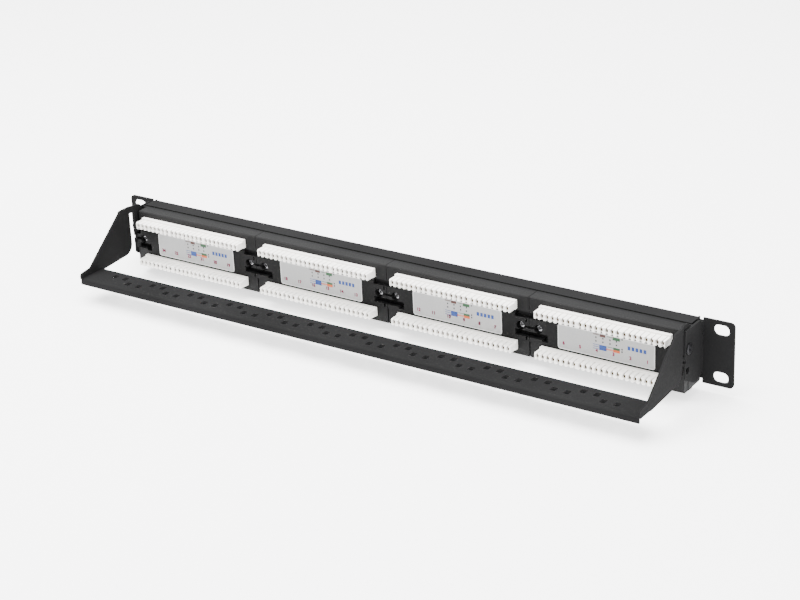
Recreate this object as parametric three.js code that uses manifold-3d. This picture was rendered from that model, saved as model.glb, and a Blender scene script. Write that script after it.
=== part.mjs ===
// 19 inch, one-unit network patch panel: a folded steel front panel, four six-port modules with
// punch-down blocks at the back, and a rear cable bar that hangs from one screw on each side.
//
// Millimetres. The origin is the centre of the rack mounting plane, which is the rear face of the
// ears. +X is left as seen from behind, +Y points out of the back of the panel, and +Z is up.

import * as THREE from 'three';
import { mergeVertices } from 'three/addons/utils/BufferGeometryUtils.js';
import Module from 'manifold-3d';

const wasm = await Module();
wasm.setup();

// ---------------------------------------------------------------- driving dimensions

const sheet = 1.2;
const assemblyGap = 0.3;

const panel = {
  halfWidth: 241.3,
  halfHeight: 22,
  earCornerRadius: 3,
  bodyHalfWidth: 220.2,
  bendRadius: 1.6,
  lipDepth: 10.8,
  lipHalfWidth: 217.6,
};

const rackSlot = { spacingX: 465.1, spacingZ: 31.75, length: 10.4, width: 7 };
const bendRelief = { width: 2.6, topDepth: 1.8, bottomDepth: 3 };

const module = { count: 4, pitch: 109.55, halfWidth: 54.52 };
const port = { count: 6, pitch: 15.24, width: 11.9, height: 8, topZ: 2.2 };
const latchSteps = [{ width: 6.4, depth: 1.6 }, { width: 4, depth: 1.5 }];

const jackFace = { halfWidth: 45.1, bottomZ: -12.6, topZ: 5.4, proud: 0.9 };
const jackFlange = { halfHeight: 20.2, from: 0.15, to: 2 };
const jackRear = 10.4;
const snapLug = { width: 6, height: 0.7, from: -2, to: -1.4, x: 30 };

const insertPlate = { from: 10.7, to: 13.4, halfWidth: 44.6, bottomZ: -11.6, topZ: 4.4 };
const tongue = { width: 9.6, from: 2, bottomZ: 0.3, topZ: 1.8 };

const board = { from: 13.7, to: 15.3, halfWidth: 49.6, halfHeight: 18.6 };

const rear = {
  from: 2.3,
  step: panel.lipDepth + assemblyGap,
  wall: 21.3,
  platform: 21.8,
  innerHalfHeight: 20.4,
  outerHalfHeight: 21.2,
  chamfer: 0.6,
  platformBottomZ: -9.6,
  platformTopZ: 7.6,
};
const rearCavity = { halfWidth: 43, floor: 19.6, halfHeight: 18.9, endHalfWidth: 49.9, endFloor: 17.4 };
const jackRecess = { halfWidth: 45.4, floor: 15.6 };
const endBlock = { topZ: 6.2, bottomZ: -9.2 };
const endGroove = { x: 44.2, bottomZ: 5.9, topZ: 10.1, floor: 18.3 };
const endPocket = { x: 44.3, bottomZ: -7.1, topZ: -2.8, floor: 16 };
const latchPocket = { from: 41.2, to: 45.4, bottomZ: -8.2, topZ: -2.8, floor: 17.4 };
const keyNotch = { x: -52.6, width: 1.3, floor: 19.5, spansZ: [[-9.6, -6.9], [2.9, 5.8]] };
const seamRelief = { depth: 0.3, floor: 16, topZ: -10.3 };

const moduleScrew = { x: 48.2, headRadius: 2.6, headHeight: 2.1, shankRadius: 1.4, seat: 17.5, tip: 0.6 };
const screwRecess = { radius: 3.1, floor: 17.3, holeRadius: 1.75, grooveHalfHeight: 0.9, grooveFloor: 19.8 };

const idc = {
  halfLength: 46,
  centreZ: 14.1,
  height: 5.6,
  root: 21.5,
  tip: 30.9,
  slotPitch: 3.75,
  groupStep: 4.6,
  groups: 3,
  slotsPerGroup: 8,
  slotWidth: 1,
  slotFloor: 24.2,
  mouth: 28.8,
};
const idcFoot = { halfLength: 44.9, height: 3.8, from: 15.6, clearance: 0.4 };

const wiringLabel = {
  centreX: -0.5, halfWidth: 34.1, bottomZ: -9.4, topZ: 7.4, thickness: 0.3, cornerRadius: 1.6,
};
const portLabel = {
  centreX: 0, halfWidth: 51.5, bottomZ: 9.4, topZ: 17.4, thickness: 0.25, cornerRadius: 0.8,
};
const stickerGap = 0.05;

const pivot = { y: 19.6, z: 8.9 };
const pivotScrew = { headRadius: 3.4, headHeight: 0.9, recessDepth: 0.5, shankRadius: 1.9, holeRadius: 2.05 };
const pivotNut = { acrossFlats: 6.5, from: 215.3, to: 217.4 };
const spareHole = { y: 20.4, z: -5.4, radius: 2.4 };
const edgeNotch = { y: 23.2, z: 1.3, radius: 1.2 };
const sideWall = { rear: 23.4, top: 21.9 };
const tabNotch = { x: 215, y: 12.5, z: 3.4 };

const bar = {
  trayTop: -10.1,
  trayFront: 60.3,
  trayRear: 82.3,
  lipBottom: -14.2,
  frontLipBottom: -18.3,
  frontLipHalfWidth: 208,
  bendRadius: 1.6,
  armFront: 27.4,
  armTop: 25.4,
  tabFront: 15.5,
  tabInner: 217.6,
  joggleBottom: 20.6,
};
const tieSlot = {
  pairs: 12, pairPitch: 34.07, spacing: 9.3, rowShift: 16.8, length: 5, width: 4, cornerRadius: 0.8,
};
const tieRows = [{ y: 67.3, side: 1 }, { y: 73.2, side: -1 }];

// ---------------------------------------------------------------- materials

function finish(colour, roughness, metalness) {
  return () => new THREE.MeshStandardMaterial({ color: colour, roughness, metalness });
}

const blackSteel = finish(0x2c2c2e, 0.55, 0.3);
const blackPlastic = finish(0x232325, 0.5, 0);
const whitePlastic = finish(0xf3f1ea, 0.4, 0);
const greyInsert = finish(0x3a3a3d, 0.5, 0);
const greenBoard = finish(0x1d5a35, 0.45, 0);
const greyLabel = finish(0xc9c9c9, 0.6, 0);
const whiteLabel = finish(0xe9e9e6, 0.6, 0);
const zincSteel = finish(0xb9bbbd, 0.3, 0.9);
const blackScrew = finish(0x1d1d1f, 0.35, 0.6);

// ---------------------------------------------------------------- solids and placing

// Turns a closed three.js geometry into a solid that can be joined and cut.
function solid(geometry) {
  const bare = geometry.index ? geometry.toNonIndexed() : geometry.clone();
  bare.deleteAttribute('normal');
  bare.deleteAttribute('uv');
  const merged = mergeVertices(bare, 1e-4);
  return new wasm.Manifold(new wasm.Mesh({
    numProp: 3,
    vertProperties: new Float32Array(merged.attributes.position.array),
    triVerts: new Uint32Array(merged.index.array),
  }));
}

function named(name, body, makeMaterial) {
  const result = body.getMesh();
  const geometry = new THREE.BufferGeometry();
  geometry.setAttribute('position', new THREE.BufferAttribute(result.vertProperties, 3));
  geometry.setIndex(new THREE.BufferAttribute(result.triVerts, 1));
  geometry.computeVertexNormals();
  const mesh = new THREE.Mesh(geometry, makeMaterial());
  mesh.name = name;
  return mesh;
}

function box(x, y, z) {
  const geometry = new THREE.BoxGeometry(x[1] - x[0], y[1] - y[0], z[1] - z[0]);
  geometry.translate((x[0] + x[1]) / 2, (y[0] + y[1]) / 2, (z[0] + z[1]) / 2);
  return solid(geometry);
}

// A shape drawn in X and Z, made solid from one Y to another.
function alongY(shape, from, to, curveSegments = 6) {
  const geometry = new THREE.ExtrudeGeometry(shape, { depth: to - from, bevelEnabled: false, curveSegments });
  geometry.rotateX(Math.PI / 2);
  geometry.translate(0, to, 0);
  return solid(geometry);
}

// A shape drawn in Y and Z, made solid from one X to another.
function alongX(shape, from, to, curveSegments = 6) {
  const geometry = new THREE.ExtrudeGeometry(shape, { depth: to - from, bevelEnabled: false, curveSegments });
  const yzToX = new THREE.Matrix4().makeBasis(
    new THREE.Vector3(0, 1, 0), new THREE.Vector3(0, 0, 1), new THREE.Vector3(1, 0, 0));
  geometry.applyMatrix4(yzToX);
  geometry.translate(from, 0, 0);
  return solid(geometry);
}

// A shape drawn in X and Y, made solid from one Z to another.
function alongZ(shape, from, to, curveSegments = 6) {
  const geometry = new THREE.ExtrudeGeometry(shape, { depth: to - from, bevelEnabled: false, curveSegments });
  geometry.translate(0, 0, from);
  return solid(geometry);
}

function cylinderY(x, z, radius, from, to, segments = 20) {
  const geometry = new THREE.CylinderGeometry(radius, radius, to - from, segments);
  geometry.translate(x, (from + to) / 2, z);
  return solid(geometry);
}

function cylinderX(y, z, radius, from, to, segments = 16) {
  const geometry = new THREE.CylinderGeometry(radius, radius, to - from, segments);
  geometry.rotateZ(Math.PI / 2);
  geometry.translate((from + to) / 2, y, z);
  return solid(geometry);
}

function roundedRectangle(x, y, radius) {
  const shape = new THREE.Shape();
  shape.moveTo(x[0] + radius, y[0]);
  shape.lineTo(x[1] - radius, y[0]);
  shape.absarc(x[1] - radius, y[0] + radius, radius, -Math.PI / 2, 0);
  shape.lineTo(x[1], y[1] - radius);
  shape.absarc(x[1] - radius, y[1] - radius, radius, 0, Math.PI / 2);
  shape.lineTo(x[0] + radius, y[1]);
  shape.absarc(x[0] + radius, y[1] - radius, radius, Math.PI / 2, Math.PI);
  shape.lineTo(x[0], y[0] + radius);
  shape.absarc(x[0] + radius, y[0] + radius, radius, Math.PI, 1.5 * Math.PI);
  return shape;
}

// A slot with round ends, its long way along the first direction of the drawing.
function slotShape(first, second, length, width) {
  const radius = width / 2;
  const straight = length / 2 - radius;
  const shape = new THREE.Shape();
  shape.moveTo(first - straight, second - radius);
  shape.lineTo(first + straight, second - radius);
  shape.absarc(first + straight, second, radius, -Math.PI / 2, Math.PI / 2);
  shape.lineTo(first - straight, second + radius);
  shape.absarc(first - straight, second, radius, Math.PI / 2, 1.5 * Math.PI);
  return shape;
}

function outline(points) {
  return new THREE.Shape(points.map(([first, second]) => new THREE.Vector2(first, second)));
}

function join(bodies) {
  return bodies.reduce((whole, body) => whole.add(body));
}

function cut(body, tools) {
  return tools.reduce((rest, tool) => rest.subtract(tool), body);
}

// The same body on the +X side and, mirrored, on the -X side.
function onBothSides(makeBody) {
  return [1, -1].map((side) => {
    const body = makeBody();
    return side > 0 ? body : body.mirror([1, 0, 0]);
  });
}

function moduleCentre(index) {
  return ((module.count - 1) / 2 - index) * module.pitch;
}

function portCentres() {
  return Array.from({ length: port.count }, (_, i) => ((port.count - 1) / 2 - i) * port.pitch);
}

// ---------------------------------------------------------------- folded steel front panel

// Section of the panel's middle: the front face with a lip folded back at the top and the bottom.
function channelSection() {
  const { halfHeight, bendRadius, lipDepth } = panel;
  const inner = bendRadius - sheet;
  const shape = new THREE.Shape();
  shape.moveTo(lipDepth, halfHeight);
  shape.lineTo(bendRadius - sheet, halfHeight);
  shape.absarc(bendRadius - sheet, halfHeight - bendRadius, bendRadius, Math.PI / 2, Math.PI);
  shape.lineTo(-sheet, bendRadius - halfHeight);
  shape.absarc(bendRadius - sheet, bendRadius - halfHeight, bendRadius, Math.PI, 1.5 * Math.PI);
  shape.lineTo(lipDepth, -halfHeight);
  shape.lineTo(lipDepth, sheet - halfHeight);
  shape.lineTo(inner, sheet - halfHeight);
  shape.absarc(inner, sheet + inner - halfHeight, inner, 1.5 * Math.PI, Math.PI, true);
  shape.lineTo(0, halfHeight - sheet - inner);
  shape.absarc(inner, halfHeight - sheet - inner, inner, Math.PI, Math.PI / 2, true);
  shape.lineTo(lipDepth, halfHeight - sheet);
  return shape;
}

// One ear with its two rounded outer corners, on the +X side.
function ear() {
  const { halfWidth, halfHeight, lipHalfWidth, earCornerRadius: radius } = panel;
  const shape = new THREE.Shape();
  shape.moveTo(lipHalfWidth - 1, -halfHeight);
  shape.lineTo(halfWidth - radius, -halfHeight);
  shape.absarc(halfWidth - radius, radius - halfHeight, radius, -Math.PI / 2, 0);
  shape.lineTo(halfWidth, halfHeight - radius);
  shape.absarc(halfWidth - radius, halfHeight - radius, radius, 0, Math.PI / 2);
  shape.lineTo(lipHalfWidth - 1, halfHeight);
  return alongY(shape, -sheet, 0);
}

// The wall folded back beside the modules, on the +X side. Its lower rear corner slopes upwards.
function sidePlate() {
  const shape = outline([
    [-sheet / 2, -15.2], [2.2, -15.6], [6.8, -17.6], [10.9, -17.6], [22, -11.8], [sideWall.rear, -10.2],
    [sideWall.rear, sideWall.top], [4.5, sideWall.top], [2.4, 19.9], [-sheet / 2, 19.9],
  ]);
  return alongX(shape, panel.bodyHalfWidth - sheet, panel.bodyHalfWidth);
}

// The gap left between a lip and an ear so that both can be folded, at the +X end.
function bendReliefs() {
  const { halfHeight, lipHalfWidth } = panel;
  const x = [lipHalfWidth, lipHalfWidth + bendRelief.width];
  const y = [-2 * sheet, sheet];
  return [
    box(x, y, [halfHeight - bendRelief.topDepth, halfHeight + 1]),
    box(x, y, [-halfHeight - 1, bendRelief.bottomDepth - halfHeight]),
  ];
}

function rackSlots() {
  const cuts = [];
  for (const sideX of [-1, 1]) {
    for (const sideZ of [-1, 1]) {
      const x = sideX * rackSlot.spacingX / 2;
      const z = sideZ * rackSlot.spacingZ / 2;
      const shape = slotShape(x, z, rackSlot.length, rackSlot.width);
      cuts.push(alongY(shape, -2 * sheet, sheet, 10));
    }
  }
  return cuts;
}

function moduleWindows() {
  return Array.from({ length: module.count }, (_, index) => {
    const x = moduleCentre(index);
    const half = jackFace.halfWidth + assemblyGap;
    return box([x - half, x + half], [-2 * sheet, sheet],
      [jackFace.bottomZ - assemblyGap, jackFace.topZ + assemblyGap]);
  });
}

function frontPanel() {
  const { lipHalfWidth, bodyHalfWidth } = panel;
  const through = [bodyHalfWidth - 2 * sheet, bodyHalfWidth + sheet];
  const steel = join([
    alongX(channelSection(), -lipHalfWidth, lipHalfWidth),
    ...onBothSides(ear),
    ...onBothSides(sidePlate),
  ]);
  return cut(steel, [
    ...onBothSides(() => join(bendReliefs())),
    ...rackSlots(),
    ...moduleWindows(),
    ...onBothSides(() => cylinderX(pivot.y, pivot.z, pivotScrew.holeRadius, ...through)),
    ...onBothSides(() => cylinderX(spareHole.y, spareHole.z, spareHole.radius, ...through)),
    ...onBothSides(() => cylinderX(edgeNotch.y, edgeNotch.z, edgeNotch.radius, ...through, 16)),
  ]);
}

// ---------------------------------------------------------------- one module, at X = 0

// The opening of one modular jack: the plug's body, and the steps below it for the plug's latch.
function jackOpening(x) {
  const { width, height, topZ } = port;
  const bottomZ = topZ - height;
  const right = [[width / 2, topZ], [width / 2, bottomZ]];
  let z = bottomZ;
  for (const step of latchSteps) {
    right.push([step.width / 2, z]);
    z -= step.depth;
    right.push([step.width / 2, z]);
  }
  const left = right.map(([stepX, stepZ]) => [-stepX, stepZ]).reverse();
  return outline([...right, ...left].map(([stepX, stepZ]) => [x + stepX, stepZ]));
}

function jackHousing() {
  const { halfWidth, bottomZ, topZ, proud } = jackFace;
  const { halfHeight, from, to } = jackFlange;
  const body = box([-halfWidth, halfWidth], [-sheet - proud, jackRear], [bottomZ, topZ]);
  const flange = box([-module.halfWidth, module.halfWidth], [from, to], [-halfHeight, halfHeight]);
  const lugs = [];
  for (const x of [-snapLug.x, snapLug.x]) {
    const lugX = [x - snapLug.width / 2, x + snapLug.width / 2];
    lugs.push(box(lugX, [snapLug.from, snapLug.to], [topZ - 1, topZ + snapLug.height]));
    lugs.push(box(lugX, [snapLug.from, snapLug.to], [bottomZ - snapLug.height, bottomZ + 1]));
  }
  const openings = portCentres().map((x) => alongY(jackOpening(x), -2 * sheet - proud, jackRear + 1));
  const screwHoles = onBothSides(() => cylinderY(moduleScrew.x, 0, 1.55, from - 1, to + 1, 16));
  return cut(join([body, flange, ...lugs]), [...openings, ...screwHoles]);
}

// The plate behind the jacks, with a tongue in each one that carries the spring contacts.
function contactInsert() {
  const { from, to, halfWidth, bottomZ, topZ } = insertPlate;
  const plate = box([-halfWidth, halfWidth], [from, to], [bottomZ, topZ]);
  const tongues = portCentres().map((x) => box(
    [x - tongue.width / 2, x + tongue.width / 2], [tongue.from, from + 1], [tongue.bottomZ, tongue.topZ]));
  return join([plate, ...tongues]);
}

// The board's two ends are cut back around the blocks that the module's screws pass through.
function circuitBoard() {
  const { from, to, halfWidth, halfHeight } = board;
  const plate = box([-halfWidth, halfWidth], [from, to], [-halfHeight, halfHeight]);
  const ends = onBothSides(() => box(
    [jackRecess.halfWidth - assemblyGap, halfWidth + 1], [from - 1, to + 1],
    [endBlock.bottomZ - assemblyGap, endBlock.topZ + assemblyGap]));
  return cut(plate, ends);
}

// Section of the rear housing: it fits between the panel's lips, steps out behind them, and has a
// raised platform for the wiring label across the middle of its back.
function rearSection() {
  const { from, step, wall, platform, innerHalfHeight: inner, outerHalfHeight: outer, chamfer } = rear;
  return outline([
    [from, -inner], [step, -inner], [step, -outer], [wall - chamfer, -outer], [wall, chamfer - outer],
    [wall, rear.platformBottomZ], [platform, rear.platformBottomZ],
    [platform, rear.platformTopZ], [wall, rear.platformTopZ],
    [wall, outer - chamfer], [wall - chamfer, outer], [step, outer], [step, inner], [from, inner],
  ]);
}

function rearHousing(index) {
  const { halfWidth, floor, halfHeight, endHalfWidth, endFloor } = rearCavity;
  const behind = rear.platform + 1;
  const inFront = rear.from - 1;
  const pastEnd = module.halfWidth + 1;
  const shell = alongX(rearSection(), -module.halfWidth, module.halfWidth);
  const middle = join([
    box([-halfWidth, halfWidth], [inFront, floor], [-halfHeight, halfHeight]),
    box([-jackRecess.halfWidth, jackRecess.halfWidth], [inFront, jackRecess.floor],
      [-halfHeight, halfHeight]),
  ]);
  const ends = onBothSides(() => join([
    box([halfWidth - 1, endHalfWidth], [inFront, endFloor], [endBlock.topZ, halfHeight]),
    box([halfWidth - 1, endHalfWidth], [inFront, endFloor], [-halfHeight, endBlock.bottomZ]),
    box([endGroove.x, pastEnd], [endGroove.floor, behind], [endGroove.bottomZ, endGroove.topZ]),
    box([endPocket.x, pastEnd], [endPocket.floor, behind], [endPocket.bottomZ, endPocket.topZ]),
    cylinderY(moduleScrew.x, 0, screwRecess.radius, screwRecess.floor, behind, 28),
    cylinderY(moduleScrew.x, 0, screwRecess.holeRadius, inFront, behind, 16),
    box([moduleScrew.x, pastEnd], [screwRecess.grooveFloor, behind],
      [-screwRecess.grooveHalfHeight, screwRecess.grooveHalfHeight]),
    box([module.halfWidth - seamRelief.depth, pastEnd], [seamRelief.floor, behind],
      [-rear.outerHalfHeight - 1, seamRelief.topZ]),
  ]));
  const blockWindows = [1, -1].map((side) => {
    const half = idcFoot.height / 2 + idcFoot.clearance;
    const middleZ = side * idc.centreZ;
    const x = idcFoot.halfLength + idcFoot.clearance;
    return box([-x, x], [endFloor - 1, behind], [middleZ - half, middleZ + half]);
  });
  const latch = box([latchPocket.from, latchPocket.to], [latchPocket.floor, behind],
    [latchPocket.bottomZ, latchPocket.topZ]);
  const keys = keyNotch.spansZ.map((span) => box(
    [keyNotch.x - keyNotch.width / 2, keyNotch.x + keyNotch.width / 2], [keyNotch.floor, behind], span));
  const cuts = [middle, ...ends, ...blockWindows, latch, ...keys];
  const outerSide = Math.sign(moduleCentre(index));
  if (index === 0 || index === module.count - 1) {
    const notchX = tabNotch.x - Math.abs(moduleCentre(index));
    const notch = box([notchX, pastEnd], [tabNotch.y, behind], [tabNotch.z, rear.outerHalfHeight + 1]);
    cuts.push(outerSide > 0 ? notch : notch.mirror([1, 0, 0]));
  }
  return cut(shell, cuts);
}

function slotCentres() {
  const groupWidth = (idc.slotsPerGroup - 1) * idc.slotPitch;
  const total = idc.groups * groupWidth + (idc.groups - 1) * idc.groupStep;
  const centres = [];
  for (let group = 0; group < idc.groups; group += 1) {
    for (let slot = 0; slot < idc.slotsPerGroup; slot += 1) {
      centres.push(-total / 2 + group * (groupWidth + idc.groupStep) + slot * idc.slotPitch);
    }
  }
  return centres;
}

// Seen from above: a comb whose teeth end in points, so that a wire slides into the slot between.
function combOutline() {
  const { halfLength, root, tip, slotWidth, slotFloor, mouth } = idc;
  const centres = slotCentres();
  const points = [[halfLength, root], [halfLength, tip]];
  for (let i = centres.length - 1; i >= 0; i -= 1) {
    const x = centres[i];
    points.push([x + slotWidth / 2, mouth], [x + slotWidth / 2, slotFloor]);
    points.push([x - slotWidth / 2, slotFloor], [x - slotWidth / 2, mouth]);
    if (i > 0) {
      points.push([(x + centres[i - 1]) / 2, tip]);
    }
  }
  points.push([-halfLength, tip], [-halfLength, root]);
  return outline(points);
}

function idcBlock(side) {
  const middleZ = side * idc.centreZ;
  const comb = alongZ(combOutline(), middleZ - idc.height / 2, middleZ + idc.height / 2);
  const foot = box([-idcFoot.halfLength, idcFoot.halfLength], [idcFoot.from, idc.root + 1],
    [middleZ - idcFoot.height / 2, middleZ + idcFoot.height / 2]);
  return comb.add(foot);
}

function sticker(label, from) {
  const { centreX, halfWidth, bottomZ, topZ, cornerRadius } = label;
  const shape = roundedRectangle([centreX - halfWidth, centreX + halfWidth], [bottomZ, topZ], cornerRadius);
  return alongY(shape, from, from + label.thickness, 3);
}

// Pan head screw along Y, head at the back, with a cross recess.
function moduleScrewBody(side) {
  const { x, headRadius, headHeight, shankRadius, seat, tip } = moduleScrew;
  const crown = seat + headHeight;
  const profile = [
    new THREE.Vector2(0, tip), new THREE.Vector2(shankRadius * 0.6, tip),
    new THREE.Vector2(shankRadius, tip + 1), new THREE.Vector2(shankRadius, seat),
    new THREE.Vector2(headRadius, seat), new THREE.Vector2(headRadius, seat + headHeight * 0.55),
    new THREE.Vector2(headRadius * 0.7, crown), new THREE.Vector2(0, crown),
  ];
  const turned = new THREE.LatheGeometry(profile, 14);
  turned.translate(side * x, 0, 0);
  const arm = headRadius * 0.62;
  const slot = 0.36;
  const recess = [crown - 0.9, crown + 1];
  return cut(solid(turned), [
    box([side * x - arm, side * x + arm], recess, [-slot, slot]),
    box([side * x - slot, side * x + slot], recess, [-arm, arm]),
  ]);
}

function makeModule(index) {
  const group = new THREE.Group();
  const number = index + 1;
  group.position.x = moduleCentre(index);
  group.add(
    named(`jack_housing_${number}`, jackHousing(), blackPlastic),
    named(`contact_insert_${number}`, contactInsert(), greyInsert),
    named(`circuit_board_${number}`, circuitBoard(), greenBoard),
    named(`rear_housing_${number}`, rearHousing(index), blackPlastic),
    named(`upper_idc_block_${number}`, idcBlock(1), whitePlastic),
    named(`lower_idc_block_${number}`, idcBlock(-1), whitePlastic),
    named(`wiring_label_${number}`, sticker(wiringLabel, rear.platform + stickerGap), greyLabel),
    named(`port_label_${number}`, sticker(portLabel, -sheet - stickerGap - portLabel.thickness), whiteLabel),
    named(`module_screw_left_${number}`, moduleScrewBody(1), zincSteel),
    named(`module_screw_right_${number}`, moduleScrewBody(-1), zincSteel),
  );
  return group;
}

// ---------------------------------------------------------------- rear cable bar

// One arm of the bar, seen from the side. It rises from the tray's end to beside the panel.
function armOutline() {
  const trayBottom = bar.trayTop - sheet;
  const shape = new THREE.Shape();
  shape.moveTo(bar.armFront, bar.armTop);
  shape.lineTo(bar.armFront, -1.6);
  shape.absarc(bar.armFront + 8, -1.6, 8, Math.PI, 1.45 * Math.PI);
  shape.lineTo(bar.trayFront, trayBottom);
  shape.lineTo(68.2, trayBottom - 0.5);
  shape.lineTo(69.2, trayBottom);
  shape.lineTo(bar.trayRear - 1, trayBottom);
  shape.lineTo(bar.trayRear, bar.trayTop);
  shape.lineTo(bar.trayRear, bar.trayTop + 1.2);
  shape.absarc(bar.trayRear - 2, bar.trayTop + 1.8, 2, 0, Math.PI / 2);
  shape.lineTo(72.4, bar.trayTop + 4.8);
  shape.lineTo(38.2, bar.armTop - 1.4);
  shape.absarc(36, bar.armTop - 3.4, 3.4, Math.PI / 4, Math.PI / 2);
  return shape;
}

// The arm's front part, stepped inwards so that it lies inside the panel's side wall.
function tabOutline() {
  const radius = 4.6;
  const shape = new THREE.Shape();
  shape.moveTo(sideWall.rear + 0.6, bar.armTop);
  shape.lineTo(bar.tabFront + 4.5, bar.armTop);
  shape.absarc(bar.tabFront + 4.5, bar.armTop - 4.5, 4.5, Math.PI / 2, Math.PI);
  shape.lineTo(bar.tabFront, pivot.z + 2);
  shape.absarc(pivot.y, pivot.z, radius, Math.PI - 0.4, 2 * Math.PI);
  shape.lineTo(sideWall.rear + 0.6, pivot.z + 3);
  return shape;
}

function arm() {
  const outer = panel.bodyHalfWidth;
  const { tabInner, armFront, joggleBottom, armTop } = bar;
  const plate = alongX(armOutline(), outer - sheet, outer);
  const tab = alongX(tabOutline(), tabInner, tabInner + sheet);
  const tabRear = sideWall.rear;
  const joggle = alongZ(outline([
    [tabInner, tabRear - 0.6], [tabInner + sheet, tabRear - 0.6], [tabInner + sheet, tabRear + 0.5],
    [outer, armFront], [outer, armFront + 1], [outer - sheet, armFront + 1],
    [outer - sheet, armFront + 0.4], [tabInner, tabRear + 1],
  ]), joggleBottom, armTop);
  return join([plate, tab, joggle]);
}

// The stiffening lip folded down along the tray's front edge. It stops short of the arms.
function trayFrontLip() {
  const half = bar.frontLipHalfWidth;
  return box([-half, half], [bar.trayFront, bar.trayFront + sheet], [bar.frontLipBottom, bar.trayTop]);
}

// Section of the tray: a flat shelf whose rear edge is folded down.
function traySection() {
  const { trayTop, trayFront, trayRear, lipBottom, bendRadius } = bar;
  const inner = bendRadius - sheet;
  const shape = new THREE.Shape();
  shape.moveTo(trayFront, trayTop);
  shape.lineTo(trayFront, trayTop - sheet);
  shape.lineTo(trayRear - bendRadius, trayTop - sheet);
  shape.absarc(trayRear - bendRadius, trayTop - bendRadius, inner, Math.PI / 2, 0, true);
  shape.lineTo(trayRear - sheet, lipBottom);
  shape.lineTo(trayRear, lipBottom);
  shape.lineTo(trayRear, trayTop - bendRadius);
  shape.absarc(trayRear - bendRadius, trayTop - bendRadius, bendRadius, 0, Math.PI / 2);
  return shape;
}

function tieSlots() {
  const cuts = [];
  for (const row of tieRows) {
    for (let pair = 0; pair < tieSlot.pairs; pair += 1) {
      for (const half of [-0.5, 0.5]) {
        const x = ((tieSlot.pairs - 1) / 2 - pair) * tieSlot.pairPitch + half * tieSlot.spacing
          + row.side * tieSlot.rowShift / 2;
        const shape = roundedRectangle([x - tieSlot.width / 2, x + tieSlot.width / 2],
          [row.y - tieSlot.length / 2, row.y + tieSlot.length / 2], tieSlot.cornerRadius);
        cuts.push(alongZ(shape, bar.trayTop - 2 * sheet, bar.trayTop + sheet, 2));
      }
    }
  }
  return cuts;
}

function cableBar() {
  const trayHalf = panel.bodyHalfWidth - sheet / 2;
  const steel = join([alongX(traySection(), -trayHalf, trayHalf), trayFrontLip(), ...onBothSides(arm)]);
  const boltHoles = onBothSides(() => cylinderX(
    pivot.y, pivot.z, pivotScrew.holeRadius, bar.tabInner - 1, bar.tabInner + 2 * sheet));
  return cut(steel, [...tieSlots(), ...boltHoles]);
}

// Screw with a low, flat head, along X on the +X side: its head bears on the outside of the side wall.
function pivotScrewBody() {
  const { headRadius, headHeight, recessDepth, shankRadius } = pivotScrew;
  const seat = panel.bodyHalfWidth + 0.15;
  const crown = seat + headHeight;
  const tip = pivotNut.from - 0.1;
  const profile = [
    new THREE.Vector2(0, tip), new THREE.Vector2(shankRadius, tip), new THREE.Vector2(shankRadius, seat),
    new THREE.Vector2(headRadius, seat), new THREE.Vector2(headRadius, seat + headHeight * 0.5),
    new THREE.Vector2(headRadius * 0.88, crown), new THREE.Vector2(0, crown),
  ];
  const turned = new THREE.LatheGeometry(profile, 24);
  turned.rotateZ(-Math.PI / 2);
  turned.translate(0, pivot.y, pivot.z);
  const armLength = headRadius * 0.6;
  const slot = 0.45;
  const recess = [crown - recessDepth, crown + 1];
  return cut(solid(turned), [
    box(recess, [pivot.y - armLength, pivot.y + armLength], [pivot.z - slot, pivot.z + slot]),
    box(recess, [pivot.y - slot, pivot.y + slot], [pivot.z - armLength, pivot.z + armLength]),
  ]);
}

function pivotNutBody() {
  const corner = pivotNut.acrossFlats / Math.sqrt(3);
  const hexagon = cylinderX(pivot.y, pivot.z, corner, pivotNut.from, pivotNut.to, 6);
  const bore = cylinderX(pivot.y, pivot.z, pivotScrew.holeRadius, pivotNut.from - 1, pivotNut.to + 1);
  return hexagon.subtract(bore);
}

// ---------------------------------------------------------------- the whole object

const patchPanel = new THREE.Group();
patchPanel.add(named('front_panel', frontPanel(), blackSteel));
for (let index = 0; index < module.count; index += 1) {
  patchPanel.add(makeModule(index));
}
patchPanel.add(named('cable_bar', cableBar(), blackSteel));

const [leftScrew, rightScrew] = onBothSides(pivotScrewBody);
const [leftNut, rightNut] = onBothSides(pivotNutBody);
patchPanel.add(
  named('bar_screw_left', leftScrew, blackScrew),
  named('bar_screw_right', rightScrew, blackScrew),
  named('bar_nut_left', leftNut, zincSteel),
  named('bar_nut_right', rightNut, zincSteel),
);

export default patchPanel;
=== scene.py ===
"""Looks for the patch panel: finer pieces where the CAD is plain, materials, floor, light and camera."""

import math

import bpy
from mathutils import Euler, Matrix, Vector


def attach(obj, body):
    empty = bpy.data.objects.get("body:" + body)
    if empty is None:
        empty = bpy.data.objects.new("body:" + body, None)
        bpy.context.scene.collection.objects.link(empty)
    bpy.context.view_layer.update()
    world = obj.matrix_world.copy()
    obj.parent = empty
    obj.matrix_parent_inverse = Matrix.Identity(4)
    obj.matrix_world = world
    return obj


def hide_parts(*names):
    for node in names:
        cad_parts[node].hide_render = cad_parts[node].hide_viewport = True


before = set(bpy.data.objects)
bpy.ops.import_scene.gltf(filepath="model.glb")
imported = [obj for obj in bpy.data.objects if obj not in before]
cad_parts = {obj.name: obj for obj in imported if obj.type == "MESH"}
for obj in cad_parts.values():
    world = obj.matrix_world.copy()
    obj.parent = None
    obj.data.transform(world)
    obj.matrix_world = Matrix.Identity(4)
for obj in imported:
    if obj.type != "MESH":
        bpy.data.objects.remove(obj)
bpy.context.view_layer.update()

MM = 0.001
PANEL_BODY = "panel"

# ---------------------------------------------------------------- sizes shared with the CAD, mm

MODULES = 4
MODULE_PITCH = 109.55
PORTS = 6
PORT_PITCH = 15.24

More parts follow.
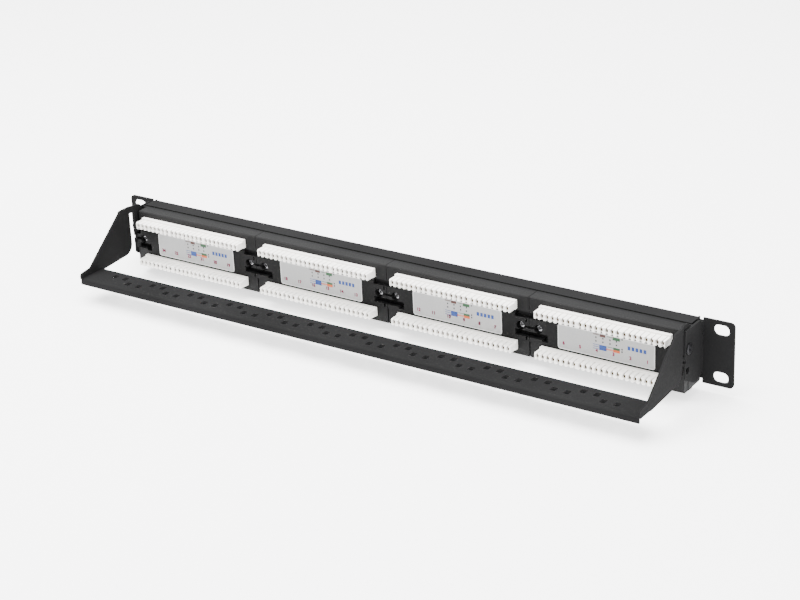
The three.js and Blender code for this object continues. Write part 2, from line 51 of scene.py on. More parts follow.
IDC_HALF_LENGTH = 46.0
IDC_CENTRE_Z = 14.1
IDC_HALF_HEIGHT = 2.8
IDC_ROOT_Y = 21.5
IDC_SLOT_FLOOR_Y = 24.2
IDC_GROUPS = 3
IDC_SLOTS_PER_GROUP = 8
IDC_SLOT_PITCH = 3.75
IDC_GROUP_STEP = 4.6
IDC_FOOT = {"half_length": 44.9, "from_y": 15.6, "half_height": 1.9}

LABEL = {"centre_x": -0.5, "half_width": 34.1, "bottom_z": -9.4, "top_z": 7.4, "face_y": 22.15, "corner": 1.6}
PORT_LABEL = {"middle_z": 13.4, "half_height": 4, "face_y": -1.5}

SCREW_X = 48.2
SCREW_SEAT_Y = 17.5
PIVOT_Y = 19.6
PIVOT_Z = 8.9
PIVOT_SEAT_X = 220.35

# ---------------------------------------------------------------- sizes of the finer pieces, mm

# How far each side of a tooth stands in from its cap, and how far down the tooth that is, as a share.
SLOT_SIDE = ((0, 0), (0, 0.1), (0.72, 0.17), (0.72, 0.52), (0.18, 0.64), (0.18, 0.74), (0.85, 1))
END_SIDE = ((0, 0), (0, 0.1), (0, 0.17), (0, 0.54), (0, 0.64), (0, 0.74), (0.4, 1))
# Distance behind the slot's floor, share of the full width, and how far the foot is set back.
TOOTH_RINGS = (
    (-0.3, 1.0, 0.0), (2.2, 1.0, 0.0), (4.8, 1.0, 0.0), (6.0, 0.95, 0.1), (6.5, 0.86, 0.3), (6.7, 0.76, 0.5),
)
TOOTH_TOP_SHARE = 0.5  # the top is set back by this share of what the foot is
TOOTH_DROP = 0.65
CAP_GAP = 0.5
RIDGE_RISE = 0.45
FOOT_OVERLAP = 0.5
BLOCK_BEVEL = 0.12
# The two halves of a contact in each slot, from the slot's middle and floor and the block's middle height.
BLADE = {"offset": 0.42, "half_width": 0.26, "root": 0.2, "reach": 5.2, "z": (-1.4, 1.6)}

# A recess runs from inside the head to a little above its top, and its arm is half its length.
MODULE_SCREW = {
    "shank_radius": 1.4, "shank_length": 16.9, "head_radius": 2.6, "head_height": 2.1,
    "recess_arm": 1.6, "recess_from": 0.6, "recess_to": 2.7,
}
BAR_SCREW = {
    "shank_radius": 1.9, "shank_length": 5.15, "head_radius": 3.4, "head_height": 0.9,
    "recess_arm": 1.7, "recess_from": 0.3, "recess_to": 1.1,
}
SCREW_SIDES = 36
SCREW_POINT = 1.2
SCREW_TIP_RADIUS = 0.05
SCREW_NECK = 0.3
THREAD_PITCH = 0.5

CORNER_STEPS = 5
RIM = {"width": 0.6, "height": 0.08, "depth": 0.3, "inner_depth": 0.06}
PRINT_HALF_THICKNESS = 0.03
LABEL_NUMBER = {"pitch": 11.8, "foot_z": -6.1, "height": 2.2}
PORT_NUMBER = {"foot_below_middle": 1.4, "height": 3.0}
NUMERAL_HALF_THICKNESS = 0.02
NUMERAL_SPREAD = 0.07  # share of a numeral's height
FONT_SIZE_PER_HEIGHT = 1.4
DIVIDER = {"half_width": 0.1, "end_margin": 0.6}

CONTACTS_PER_JACK = 8
CONTACT_PITCH = 1.02
CONTACT_HALF_WIDTH = 0.17
CONTACT_PATH = ((2.3, 0.05), (3.0, -0.35), (9.6, -3.6), (10.6, -3.9))

# ---------------------------------------------------------------- print on a wiring label, mm

# Solid patches: ink, x from the module's middle, and height.
SOLID_PRINT = (
    ("brown", (-0.2, 3.8), (4.9, 6.9)),
    ("green", (-10.4, -5.3), (4.5, 6.6)),
    ("red", (-6.2, -5.0), (6.6, 7.2)),
    ("red", (-10.4, -9.2), (6.6, 7.2)),
    ("blue", (-1.1, 4.0), (-4.1, -0.6)),
    ("green", (-10.4, -5.8), (-2.0, -0.4)),
    ("orange", (-10.4, -5.8), (-3.6, -2.0)),
)
# Thin lines: ink, x, and the height of each line's middle.
LINE_PRINT = (
    ("brown", (4.2, 8.5), (6.5, 5.9)),
    ("green", (-4.9, -1.4), (6.0,)),
    ("blue", (4.1, 8.5), (-0.9, -2.3, -3.7)),
    ("green", (-5.8, -1.7), (-0.9,)),
    ("orange", (-5.8, -0.5), (-2.3, -2.9)),
)
LINE_HALF_WIDTH = 0.18
PIN_MARKS = [(x, z) for x in (6.4, 1.5, -3.5, -8.0) for z in (4.0, 1.5)]
PIN_MARKS += [(-11.9, z) for z in (6.2, -0.5, -2.2)]
PIN_MARK_HALF = (0.45, 0.55)
# A row of plain bars where a category would be named.
CATEGORY_BARS = {"first_x": -16.7, "step": 2.75, "count": 5, "half_width": 0.95, "z": (0.1, 2.7)}

# ---------------------------------------------------------------- setting

FLOOR_Z = -27.2  # just under the cable bar at the low end of its travel
FLOOR_HALF = 6000
FLOOR_GLOW = 1.6
WORLD_STRENGTH = 1.75
# Lights: place in metres, side of the square in metres, and power in watts. Both point at the origin.
KEY_LIGHT = ((0.3, 0.1, 1.4), 1.6, 130)
FILL_LIGHT = ((-1.8, 0.3, 0.7), 1.2, 30)
SENSOR_WIDTH = 36
LENS = 88.99
CAMERA_PLACE = (-701.02, 1003.66, 518.59)
CAMERA_TURN_DEG = (66.547, 2.4509, -145.9425)  # about X, then Y, then Z


def module_x(index):
    return ((MODULES - 1) / 2 - index) * MODULE_PITCH


def port_x(index, place):
    """Middle of a jack. Places count from the module's +X end."""
    return module_x(index) + ((PORTS - 1) / 2 - place) * PORT_PITCH


# ---------------------------------------------------------------- materials


class Nodes:
    """A material's node tree, with short ways to add and link nodes."""

    def __init__(self, name):
        self.material = bpy.data.materials.new(name)
        self.material.use_nodes = True
        self.tree = self.material.node_tree
        self.shader = self.tree.nodes["Principled BSDF"]
        self.place = self.add("ShaderNodeTexCoord").outputs["Object"]

    def add(self, kind, **inputs):
        node = self.tree.nodes.new(kind)
        for key, value in inputs.items():
            node.inputs[key.replace("_", " ")].default_value = value
        return node

    def link(self, output, socket):
        self.tree.links.new(output, socket)

    def noise(self, scale, detail=3.0, roughness=0.5):
        node = self.add("ShaderNodeTexNoise", Scale=scale, Detail=detail, Roughness=roughness)
        self.link(self.place, node.inputs["Vector"])
        return node.outputs["Fac"]

    def spread(self, value, low, high, from_low=0.3, from_high=0.7):
        node = self.add("ShaderNodeMapRange")
        node.inputs["From Min"].default_value = from_low
        node.inputs["From Max"].default_value = from_high
        node.inputs["To Min"].default_value = low
        node.inputs["To Max"].default_value = high
        self.link(value, node.inputs["Value"])
        return node.outputs["Result"]

    def mix(self, factor, first, second):
        node = self.tree.nodes.new("ShaderNodeMix")
        node.data_type = "RGBA"
        for socket, value in ((node.inputs[6], first), (node.inputs[7], second)):
            if isinstance(value, tuple):
                socket.default_value = value
            else:
                self.link(value, socket)
        self.link(factor, node.inputs[0])
        return node.outputs[2]

    def edges(self, radius):
        """1 on sharp edges and 0 on flat faces, from how far a rounded normal leans from the face's own. It
        is the mask for the painted edge highlight.
        """
        bevel = self.add("ShaderNodeBevel", Radius=radius)
        bevel.samples = 4
        face = self.add("ShaderNodeNewGeometry").outputs["Normal"]
        dot = self.tree.nodes.new("ShaderNodeVectorMath")
        dot.operation = "DOT_PRODUCT"
        self.link(bevel.outputs["Normal"], dot.inputs[0])
        self.link(face, dot.inputs[1])
        return self.spread(dot.outputs["Value"], 1.0, 0.0, 0.80, 0.98)

    def bump(self, height, strength, distance):
        node = self.add("ShaderNodeBump", Strength=strength, Distance=distance)
        self.link(height, node.inputs["Height"])
        return node.outputs["Normal"]

    def set(self, name, output):
        """Feed a socket of the shader from a node."""
        self.link(output, self.shader.inputs[name])


def grey(level):
    return (level, level, level * 1.02, 1.0)


def shade(colour, factor):
    return tuple(min(1.0, channel * factor) for channel in colour[:3]) + (1.0,)


def powder_coat(name, level, edge_highlight_level, roughness, gloss):
    """Fine matt paint on steel: a little dust in the colour, orange peel, and edges painted lighter in the
    base colour as a painted highlight.
    """
    look = Nodes(name)
    cloud = look.spread(look.noise(18, 4), 0, 1)
    body = look.mix(cloud, grey(level * 0.88), grey(level * 1.15))
    # Painted highlight: sharp edges are mixed towards a lighter grey.
    look.set("Base Color", look.mix(look.edges(0.0006), body, grey(edge_highlight_level)))
    look.set("Roughness", look.spread(look.noise(700, 2), roughness - 0.06, roughness + 0.08))
    look.set("Normal", look.bump(look.noise(2600, 2, 0.6), strength=0.35, distance=0.00006))
    look.shader.inputs["Specular IOR Level"].default_value = gloss
    return look.material


def moulded_plastic(name, level, edge_highlight_level, roughness, gloss):
    """Spark-eroded black plastic: a low satin sheen with a fine, shallow texture, and edges painted lighter
    in the base colour as a painted highlight.
    """
    look = Nodes(name)
    cloud = look.spread(look.noise(30, 3), 0, 1)
    body = look.mix(cloud, grey(level * 0.85), grey(level * 1.2))
    # Painted highlight: sharp edges are mixed towards a lighter grey.
    look.set("Base Color", look.mix(look.edges(0.0004), body, grey(edge_highlight_level)))
    look.set("Roughness", look.spread(look.noise(900, 3), roughness - 0.07, roughness + 0.07))
    look.set("Normal", look.bump(look.noise(3500, 2), strength=0.25, distance=0.00004))
    look.shader.inputs["Specular IOR Level"].default_value = gloss
    return look.material


def pale_plastic(name, colour, roughness):
    """Smooth light plastic with faint flow marks."""
    look = Nodes(name)
    cloud = look.spread(look.noise(60, 3), 0, 1)
    look.set("Base Color", look.mix(cloud, shade(colour, 0.96), shade(colour, 1.02)))
    look.set("Roughness", look.spread(look.noise(500, 2), roughness - 0.05, roughness + 0.05))
    look.set("Normal", look.bump(look.noise(1200, 2), strength=0.08, distance=0.00004))
    return look.material


def plated_metal(name, colour, roughness, dull):
    """Plated metal with fine scratches and patches of duller plating, whose share of the colour is dull."""
    look = Nodes(name)
    patches = look.spread(look.noise(400, 4), 0, 1)
    look.set("Base Color", look.mix(patches, shade(colour, dull), colour))
    look.shader.inputs["Metallic"].default_value = 1.0
    look.set("Roughness", look.spread(look.noise(1500, 3), roughness - 0.08, roughness + 0.1))
    look.set("Normal", look.bump(look.noise(2500, 3), strength=0.12, distance=0.00003))
    return look.material


def printed_film(name, colour, roughness=0.45):
    """Paper-like film or a patch of printing ink, faintly mottled."""
    look = Nodes(name)
    mottle = look.spread(look.noise(900, 3), 0, 1)
    look.set("Base Color", look.mix(mottle, shade(colour, 0.93), shade(colour, 1.03)))
    look.set("Roughness", look.spread(look.noise(300, 2), roughness - 0.05, roughness + 0.08))
    look.set("Normal", look.bump(look.noise(4000, 2), strength=0.06, distance=0.00002))
    return look.material


def circuit_board_look(name):
    """Green solder resist with lighter copper tracks under it."""
    look = Nodes(name)
    wave = look.add("ShaderNodeTexWave", Scale=900, Distortion=6.0, Detail=1.0)
    look.link(look.place, wave.inputs["Vector"])
    tracks = look.spread(wave.outputs["Fac"], 0, 1, 0.45, 0.55)
    look.set("Base Color", look.mix(tracks, (0.01, 0.09, 0.035, 1), (0.02, 0.16, 0.06, 1)))
    look.set("Roughness", look.spread(look.noise(600, 2), 0.3, 0.45))
    return look.material


PANEL_STEEL = powder_coat("panel powder coat", level=0.0095, edge_highlight_level=0.02, roughness=0.6, gloss=0.015)
# The bar's coat is the same black paint as the panel's, set a little darker as painted shade, offsetting the
# fill light on its arms.
BAR_STEEL_WITH_PAINTED_SHADE = powder_coat("bar powder coat with painted shade", level=0.009, edge_highlight_level=0.016, roughness=0.6, gloss=0.015)
BLACK_PLASTIC = moulded_plastic(
    "black moulded plastic", level=0.008, edge_highlight_level=0.022, roughness=0.5, gloss=0.07)
GREY_PLASTIC = moulded_plastic("grey moulded plastic", level=0.03, edge_highlight_level=0.05, roughness=0.5, gloss=0.1)
WHITE_PLASTIC = pale_plastic("white block plastic", (0.9, 0.88, 0.84, 1), roughness=0.42)
LABEL_FILM = printed_film("grey label film", (0.36, 0.36, 0.36, 1))
LABEL_RIM = printed_film("label border", (0.6, 0.6, 0.6, 1))
STRIP_FILM = printed_film("white writing strip", (0.8, 0.8, 0.78, 1), roughness=0.5)
BOARD = circuit_board_look("circuit board")
ZINC = plated_metal("bright zinc", (0.26, 0.26, 0.27, 1), roughness=0.2, dull=0.45)
BLACK_ZINC = plated_metal("black zinc", (0.022, 0.022, 0.024, 1), roughness=0.45, dull=0.6)
# Contact metal: brown as for bronze-coloured contacts, and darkened further as painted shade inside the
# slots.
SHADED_CONTACT_METAL = plated_metal("tinned contact with painted shade", (0.1, 0.07, 0.042, 1), roughness=0.35, dull=0.6)
GOLD = plated_metal("gold contact", (0.83, 0.6, 0.25, 1), roughness=0.22, dull=0.85)

INKS = {
    "magenta": printed_film("magenta ink", (0.33, 0.004, 0.06, 1)),
    "blue": printed_film("blue ink", (0.002, 0.035, 0.2, 1)),
    "orange": printed_film("orange ink", (0.5, 0.07, 0.004, 1)),
    "green": printed_film("green ink", (0.003, 0.06, 0.014, 1)),
    "brown": printed_film("brown ink", (0.05, 0.01, 0.005, 1)),
    "red": printed_film("red ink", (0.35, 0.008, 0.008, 1)),
    "black": printed_film("black ink", (0.02, 0.02, 0.022, 1)),
}

NODE_LOOKS = {
    "front_panel": PANEL_STEEL,
    "cable_bar": BAR_STEEL_WITH_PAINTED_SHADE,
    "jack_housing": BLACK_PLASTIC,
    "contact_insert": GREY_PLASTIC,
    "circuit_board": BOARD,
    "rear_housing": BLACK_PLASTIC,
    "wiring_label": LABEL_FILM,
    "port_label": STRIP_FILM,
    "bar_nut": ZINC,
}
BEVELS_MM = {
    "front_panel": 0.22,
    "cable_bar": 0.22,
    "jack_housing": 0.2,
    "rear_housing": 0.25,
    "bar_nut": 0.2,
}

# ---------------------------------------------------------------- meshes


class Mesh:
    """Collects points and faces in millimetres, then becomes one object."""

    def __init__(self):
        self.points = []
        self.faces = []

    def loft(self, rings):
        """A closed body through rings of equally many points. Rings turn left seen from the last end."""
        count = len(rings[0])
        start = len(self.points)
        for ring in rings:
            self.points.extend(ring)
        for k in range(len(rings) - 1):
            low = start + k * count
            for i in range(count):
                j = (i + 1) % count
                self.faces.append((low + i, low + j, low + count + j, low + count + i))
        self.faces.append(tuple(start + i for i in reversed(range(count))))
        last = start + (len(rings) - 1) * count
        self.faces.append(tuple(last + i for i in range(count)))

    def box(self, x, y, z):
        def ring(level):
            return [(x[0], y[0], level), (x[1], y[0], level), (x[1], y[1], level), (x[0], y[1], level)]
        self.loft([ring(z[0]), ring(z[1])])

    def turned(self, profile, place, sides):
        """A body of revolution. profile is (radius, distance along the axis); place maps into the frame."""
        rings = []
        for radius, along in profile:
            ring = []
            for i in range(sides):
                angle = 2 * math.pi * i / sides
                ring.append(place(radius * math.cos(angle), radius * math.sin(angle), along))
            rings.append(ring)
        self.loft(rings)

    def plain_object(self, name):
        mesh = bpy.data.meshes.new(name)
        mesh.from_pydata([Vector(point) * MM for point in self.points], [], self.faces)
        made = bpy.data.objects.new(name, mesh)
        bpy.context.scene.collection.objects.link(made)
        return made

    def piece(self, name, material, body, slot, bevel=0.0):
        """An object with its material that rides on a body of the frame. The slot argument is not used."""
        made = self.plain_object(name)
        made.data.validate()
        made.data.materials.append(material)
        if bevel:
            add_bevel(made, bevel)
        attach(made, body)
        return made


def add_bevel(made, width_mm):
    bevel = made.modifiers.new("bevel", "BEVEL")
    bevel.width = width_mm * MM
    bevel.segments = 2
    bevel.limit_method = "ANGLE"
    bevel.angle_limit = math.radians(35)
    bevel.harden_normals = False
    bevel.use_clamp_overlap = True


# ---------------------------------------------------------------- CAD nodes that are shown as they are

for node_name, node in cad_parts.items():
    for start, material in NODE_LOOKS.items():
        if node_name.startswith(start):
            node.data.materials.clear()
            node.data.materials.append(material)
            if start in BEVELS_MM:
                add_bevel(node, BEVELS_MM[start])

# ---------------------------------------------------------------- punch-down blocks


def slot_centres():
    group_width = (IDC_SLOTS_PER_GROUP - 1) * IDC_SLOT_PITCH
    total = IDC_GROUPS * group_width + (IDC_GROUPS - 1) * IDC_GROUP_STEP
    centres = []
    for group in range(IDC_GROUPS):
        for slot in range(IDC_SLOTS_PER_GROUP):
            centres.append(-total / 2 + group * (group_width + IDC_GROUP_STEP) + slot * IDC_SLOT_PITCH)
    return centres


def tooth_section(x, y, z, low_x_side, high_x_side):
    """A section of a tooth at one depth: a wide cap, a waist on the slot's side, and a narrow foot."""
    height = z[1] - z[0]
    high = [(x[1] - inset, y, z[1] - share * height) for inset, share in high_x_side]
    low = [(x[0] + inset, y, z[1] - share * height) for inset, share in low_x_side]
    return high + low[::-1]


def punch_down_block(index, side):
    """A plain ridge against the housing, then a row of teeth that narrow to blunt chisel ends."""
    centre_x = module_x(index)
    centre_z = side * IDC_CENTRE_Z
    low = centre_z - IDC_HALF_HEIGHT
    high = centre_z + IDC_HALF_HEIGHT
    block = Mesh()
    ridge_x = (centre_x - IDC_HALF_LENGTH, centre_x + IDC_HALF_LENGTH)
    block.box(ridge_x, (IDC_ROOT_Y, IDC_SLOT_FLOOR_Y), (low, high + RIDGE_RISE))
    foot_x = (centre_x - IDC_FOOT["half_length"], centre_x + IDC_FOOT["half_length"])
    foot_z = (centre_z - IDC_FOOT["half_height"], centre_z + IDC_FOOT["half_height"])
    block.box(foot_x, (IDC_FOOT["from_y"], IDC_ROOT_Y + FOOT_OVERLAP), foot_z)
    edges = [-IDC_HALF_LENGTH - CAP_GAP / 2] + slot_centres() + [IDC_HALF_LENGTH + CAP_GAP / 2]
    last = len(edges) - 2
    for i in range(last + 1):
        left = edges[i] + CAP_GAP / 2
        right = edges[i + 1] - CAP_GAP / 2
        middle = centre_x + (left + right) / 2
        sides = (SLOT_SIDE if i > 0 else END_SIDE, SLOT_SIDE if i < last else END_SIDE)
        rings = []
        for depth, share, sink in TOOTH_RINGS:
            half = share * (right - left) / 2
            z = (low + sink, high - TOOTH_DROP - sink * TOOTH_TOP_SHARE)
            rings.append(tooth_section((middle - half, middle + half), IDC_SLOT_FLOOR_Y + depth, z, *sides))
        block.loft(rings)
    place = "upper" if side > 0 else "lower"
    made = block.piece(
        f"{place}_punch_down_block_{index + 1}", WHITE_PLASTIC, PANEL_BODY, "idc_plastic", BLOCK_BEVEL)
    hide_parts(f"{place}_idc_block_{index + 1}")


def block_contacts(index, side):
    """Two blades in each slot of a punch-down block, in a contact metal darkened as painted shade for the
    slots.
    """
    centre_z = side * IDC_CENTRE_Z
    blades = Mesh()
    blade_y = (IDC_SLOT_FLOOR_Y - BLADE["root"], IDC_SLOT_FLOOR_Y + BLADE["reach"])
    blade_z = (centre_z + BLADE["z"][0], centre_z + BLADE["z"][1])
    for x in slot_centres():
        for offset in (-BLADE["offset"], BLADE["offset"]):
            middle = module_x(index) + x + offset
            blades.box((middle - BLADE["half_width"], middle + BLADE["half_width"]), blade_y, blade_z)
    place = "upper" if side > 0 else "lower"
    blades.piece(f"{place}_contacts_{index + 1}", SHADED_CONTACT_METAL, PANEL_BODY, "zinc_screw")


# ---------------------------------------------------------------- screws


def low_head(radius, height):
    """Profile of a flat head with a small rounded rim, from its seat at 0."""
    return [
        (radius * 0.97, 0), (radius, height * 0.15), (radius, height * 0.6), (radius * 0.97, height * 0.88),
        (radius * 0.9, height),
    ]


def pan_head(radius, height):
    """Profile of a domed head, from its seat at 0."""
    profile = [(radius * 0.96, 0), (radius, height * 0.12), (radius, height * 0.45)]
    for angle in (25, 45, 65):
        lean = math.radians(angle)
        profile.append((radius * (0.62 + 0.38 * math.cos(lean)), height * (0.45 + 0.55 * math.sin(lean))))
    profile.append((radius * 0.58, height))
    return profile


def threaded_shank(radius, length):
    """Profile of a screw's shank, from its tip to the seat at 0."""
    along = SCREW_POINT - length
    profile = [(SCREW_TIP_RADIUS, -length), (radius * 0.6, -length), (radius, along)]
    while along + THREAD_PITCH < -SCREW_NECK:
        profile += [(radius, along), (radius * 0.88, along + THREAD_PITCH / 2)]
        along += THREAD_PITCH
    profile.append((radius, 0))
    return profile


def cross_section(arm, half_width, place, along):
    """The twelve corners of a cross-shaped recess."""
    corners = []
    for quarter in range(4):
        turn = math.radians(90 * quarter)
        for u, v in ((arm, -half_width), (arm, half_width), (half_width, half_width)):
            corners.append((u * math.cos(turn) - v * math.sin(turn), u * math.sin(turn) + v * math.cos(turn)))
    return [place(u, v, along) for u, v in corners]


def cross_recess(place, size):
    """The tapering body that is cut out of a screw's head."""
    arm = size["recess_arm"]
    recess = Mesh()
    recess.loft([
        cross_section(arm * 0.35, arm * 0.16, place, size["recess_from"]),
        cross_section(arm, arm * 0.24, place, size["recess_to"]),
    ])
    return recess


def screw(replaced, place, size, head, material, slot_name):
    """A screw with a cross recess in its head. head is the function that draws the head's profile."""
    profile = threaded_shank(size["shank_radius"], size["shank_length"])
    profile += head(size["head_radius"], size["head_height"])
    body = Mesh()
    body.turned(profile, place, SCREW_SIDES)
    made = body.piece(f"fine_{replaced}", material, PANEL_BODY, slot_name)
    cutter = cross_recess(place, size).plain_object(f"{made.name} recess")
    cut = made.modifiers.new("recess", "BOOLEAN")
    cut.operation = "DIFFERENCE"
    cut.solver = "EXACT"
    cut.object = cutter
    graph = bpy.context.evaluated_depsgraph_get()
    finished = bpy.data.meshes.new_from_object(made.evaluated_get(graph))
    made.modifiers.clear()
    made.data = finished
    bpy.data.objects.remove(cutter)
    finished.shade_smooth()
    finished.set_sharp_from_angle(angle=math.radians(30))
    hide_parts(replaced)


def module_screw(index, side):
    """Each screw stops at an angle of its own."""
    centre_x = module_x(index) + side * SCREW_X
    turn = math.radians(20 + 37 * index + 50 * (side > 0))

    def place(u, v, along):
        x = u * math.cos(turn) - v * math.sin(turn)
        z = u * math.sin(turn) + v * math.cos(turn)
        return (centre_x + x, SCREW_SEAT_Y + along, -z)

    hand = "left" if side > 0 else "right"
    screw(f"module_screw_{hand}_{index + 1}", place, MODULE_SCREW, pan_head, ZINC, "zinc_screw")


def bar_screw(side):
    def place(u, v, along):
        return (side * (PIVOT_SEAT_X + along), PIVOT_Y + u, PIVOT_Z + side * v)

    hand = "left" if side > 0 else "right"
    screw(f"bar_screw_{hand}", place, BAR_SCREW, low_head, BLACK_ZINC, "black_screw")


# ---------------------------------------------------------------- labels and their print


def rounded_outline(x, z, radius):
    """Corners of a rounded rectangle, turning left seen with x to the right and z up."""
    points = []
    corners = ((x[1], z[0], -90), (x[1], z[1], 0), (x[0], z[1], 90), (x[0], z[0], 180))
    for corner_x, corner_z, start in corners:
        centre_x = corner_x - radius if corner_x == x[1] else corner_x + radius
        centre_z = corner_z - radius if corner_z == z[1] else corner_z + radius
        for i in range(CORNER_STEPS + 1):
            angle = math.radians(start + 90 * i / CORNER_STEPS)
            points.append((centre_x + radius * math.cos(angle), centre_z + radius * math.sin(angle)))
    return points


def label_rim(index):
    """The raised, lighter border round a wiring label."""
    rim = Mesh()
    centre_x = module_x(index) + LABEL["centre_x"]
    x = (centre_x - LABEL["half_width"], centre_x + LABEL["half_width"])
    z = (LABEL["bottom_z"], LABEL["top_z"])
    inset = RIM["width"]
    outer = rounded_outline(x, z, LABEL["corner"])
    inner_x = (x[0] + inset, x[1] - inset)
    inner_z = (z[0] + inset, z[1] - inset)
    inner = rounded_outline(inner_x, inner_z, LABEL["corner"] - inset)
    count = len(outer)
    top = LABEL["face_y"] + RIM["height"]
    levels = ((outer, top - RIM["depth"]), (outer, top), (inner, top), (inner, top - RIM["inner_depth"]))
    for outline, depth in levels:
        rim.points.extend((px, depth, pz) for px, pz in outline)
    for ring in range(len(levels) - 1):
        for i in range(count):
            j = (i + 1) % count
            low = ring * count
            rim.faces.append((low + j, low + i, low + count + i, low + count + j))
    rim.piece(f"label_rim_{index + 1}", LABEL_RIM, PANEL_BODY, "wiring_label")


def patch(mesh, centre_x, x, z, face_y):
    """A thin printed patch on a label. x is measured from the module's middle."""
    y = (face_y - PRINT_HALF_THICKNESS, face_y + PRINT_HALF_THICKNESS)
    mesh.box((centre_x + x[0], centre_x + x[1]), y, z)


def wiring_print(index):
    centre_x = module_x(index)
    face = LABEL["face_y"]
    sheets = {ink: Mesh() for ink in INKS}
    for ink, x, z in SOLID_PRINT:
        patch(sheets[ink], centre_x, x, z, face)
    for ink, x, heights in LINE_PRINT:
        for z in heights:
            patch(sheets[ink], centre_x, x, (z - LINE_HALF_WIDTH, z + LINE_HALF_WIDTH), face)
    half_x, half_z = PIN_MARK_HALF
    for x, z in PIN_MARKS:
        patch(sheets["black"], centre_x, (x - half_x, x + half_x), (z - half_z, z + half_z), face)
    for k in range(CATEGORY_BARS["count"]):
        x = CATEGORY_BARS["first_x"] - k * CATEGORY_BARS["step"]
        half = CATEGORY_BARS["half_width"]
        patch(sheets["blue"], centre_x, (x - half, x + half), CATEGORY_BARS["z"], face)
    for ink, sheet in sheets.items():
        if sheet.faces:
            sheet.piece(f"label_{ink}_{index + 1}", INKS[ink], PANEL_BODY, "wiring_label")


def numbers(name, entries, height, material, face_y, seen_from_behind, slot_name):
    """Flat numerals in one object, each printed four times a little apart, which makes its strokes bold.

    entries holds (number, x, z), the middle of each numeral's foot.
    """
    right = Vector((-1, 0, 0)) if seen_from_behind else Vector((1, 0, 0))
    up = Vector((0, 0, 1))
    out = right.cross(up)
    spread = height * NUMERAL_SPREAD
    made = Mesh()
    for number, x, z in entries:
        curve = bpy.data.curves.new("numeral", "FONT")
        curve.body = str(number)
        curve.size = height * FONT_SIZE_PER_HEIGHT
        curve.align_x = "CENTER"
        curve.extrude = NUMERAL_HALF_THICKNESS
        text = bpy.data.objects.new("numeral", curve)
        flat = text.to_mesh()
        for aside, above in ((-1, -1), (-1, 1), (1, -1), (1, 1)):
            start = len(made.points)
            foot = Vector((x, face_y, z)) + right * aside * spread + up * above * spread
            for vertex in flat.vertices:
                corner = vertex.co
                made.points.append(tuple(foot + right * corner.x + up * corner.y + out * corner.z))
            for polygon in flat.polygons:
                made.faces.append(tuple(start + i for i in polygon.vertices))
        text.to_mesh_clear()
        bpy.data.objects.remove(text)
        bpy.data.curves.remove(curve)
    made.piece(name, material, PANEL_BODY, slot_name)


def label_numbers(index):
    entries = []
    first = (MODULES - index) * PORTS
    for k in range(PORTS):
        offset = (PORTS - 1) / 2 - k
        entries.append((first - k, module_x(index) + offset * LABEL_NUMBER["pitch"], LABEL_NUMBER["foot_z"]))
    name = f"label_numbers_{index + 1}"
    numbers(name, entries, LABEL_NUMBER["height"], INKS["magenta"], LABEL["face_y"], True, "wiring_label")


def front_numbers(index):
    """Port numbers on the writing strip, and a thin line between each port and the next."""
    entries = []
    dividers = Mesh()
    first = (MODULES - index) * PORTS
    middle_z = PORT_LABEL["middle_z"]
    face_y = PORT_LABEL["face_y"]
    reach = PORT_LABEL["half_height"] - DIVIDER["end_margin"]
    for k in range(PORTS):
        x = port_x(index, k)
        entries.append((first - k, x, middle_z - PORT_NUMBER["foot_below_middle"]))
        if k:
            edge = x + PORT_PITCH / 2
            ends = (edge - DIVIDER["half_width"], edge + DIVIDER["half_width"])
            patch(dividers, 0, ends, (middle_z - reach, middle_z + reach), face_y)
    name = f"port_numbers_{index + 1}"
    numbers(name, entries, PORT_NUMBER["height"], INKS["black"], face_y, False, "port_label")
    dividers.piece(f"port_label_lines_{index + 1}", INKS["black"], PANEL_BODY, "port_label")


# ---------------------------------------------------------------- spring contacts inside the jacks


def jack_contacts(index):
    wires = Mesh()
    half = CONTACT_HALF_WIDTH
    for k in range(PORTS):
        for contact in range(CONTACTS_PER_JACK):
            x = port_x(index, k) + (contact - (CONTACTS_PER_JACK - 1) / 2) * CONTACT_PITCH
            rings = []
            for y, z in CONTACT_PATH:
                upper = [(x - half, y, z + half), (x + half, y, z + half)]
                lower = [(x + half, y, z - half), (x - half, y, z - half)]
                rings.append(upper + lower)
            wires.loft(rings)
    wires.piece(f"jack_contacts_{index + 1}", GOLD, PANEL_BODY, "zinc_screw")


# ---------------------------------------------------------------- assemble

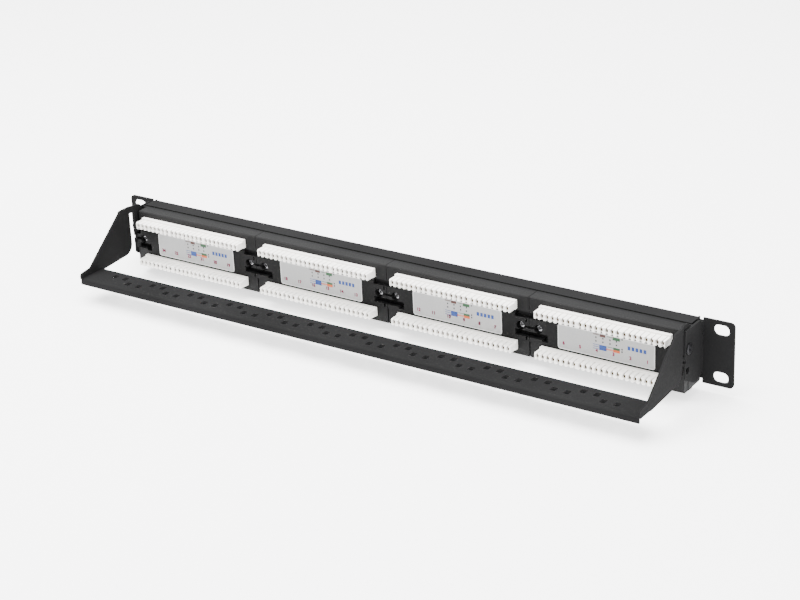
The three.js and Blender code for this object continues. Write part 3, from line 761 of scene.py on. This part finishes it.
for index in range(MODULES):
    for side in (1, -1):
        punch_down_block(index, side)
        block_contacts(index, side)
        module_screw(index, side)
    label_rim(index)
    wiring_print(index)
    label_numbers(index)
    front_numbers(index)
    jack_contacts(index)
for side in (1, -1):
    bar_screw(side)

# ---------------------------------------------------------------- floor, light and camera

floor_corners = [(x * FLOOR_HALF, y * FLOOR_HALF, FLOOR_Z) for x, y in ((-1, -1), (1, -1), (1, 1), (-1, 1))]
floor_data = bpy.data.meshes.new("floor")
floor_data.from_pydata([Vector(corner) * MM for corner in floor_corners], [], [(0, 1, 2, 3)])
floor = bpy.data.objects.new("floor", floor_data)
bpy.context.scene.collection.objects.link(floor)
floor_look = Nodes("pale floor")
floor_look.link(
    floor_look.mix(floor_look.noise(3), (0.86, 0.86, 0.86, 1), (0.9, 0.9, 0.9, 1)),
    floor_look.shader.inputs["Base Color"])
floor_look.shader.inputs["Roughness"].default_value = 0.7
floor_look.shader.inputs["Emission Color"].default_value = (1, 1, 1, 1)
floor_look.shader.inputs["Emission Strength"].default_value = FLOOR_GLOW
floor_data.materials.append(floor_look.material)

world = bpy.data.worlds.new("studio")
world.use_nodes = True
background = world.node_tree.nodes["Background"]
background.inputs["Color"].default_value = (1, 1, 1, 1)
background.inputs["Strength"].default_value = WORLD_STRENGTH
bpy.context.scene.world = world


def area_light(name, place, side, power):
    """A square light that points at the origin."""
    data = bpy.data.lights.new(name, "AREA")
    data.shape = "RECTANGLE"
    data.size = side
    data.size_y = side
    data.energy = power
    light = bpy.data.objects.new(name, data)
    light.location = place
    light.rotation_mode = "QUATERNION"
    light.rotation_quaternion = (-Vector(place)).to_track_quat("-Z", "Y")
    bpy.context.scene.collection.objects.link(light)


area_light("key", *KEY_LIGHT)
area_light("fill", *FILL_LIGHT)

camera_data = bpy.data.cameras.new("camera")
camera_data.sensor_width = SENSOR_WIDTH
camera_data.lens = LENS
camera = bpy.data.objects.new("camera", camera_data)
bpy.context.scene.collection.objects.link(camera)
camera_turn = Euler([math.radians(angle) for angle in CAMERA_TURN_DEG])
camera.matrix_world = Matrix.LocRotScale(Vector(CAMERA_PLACE) * MM, camera_turn, None)
bpy.context.scene.camera = camera
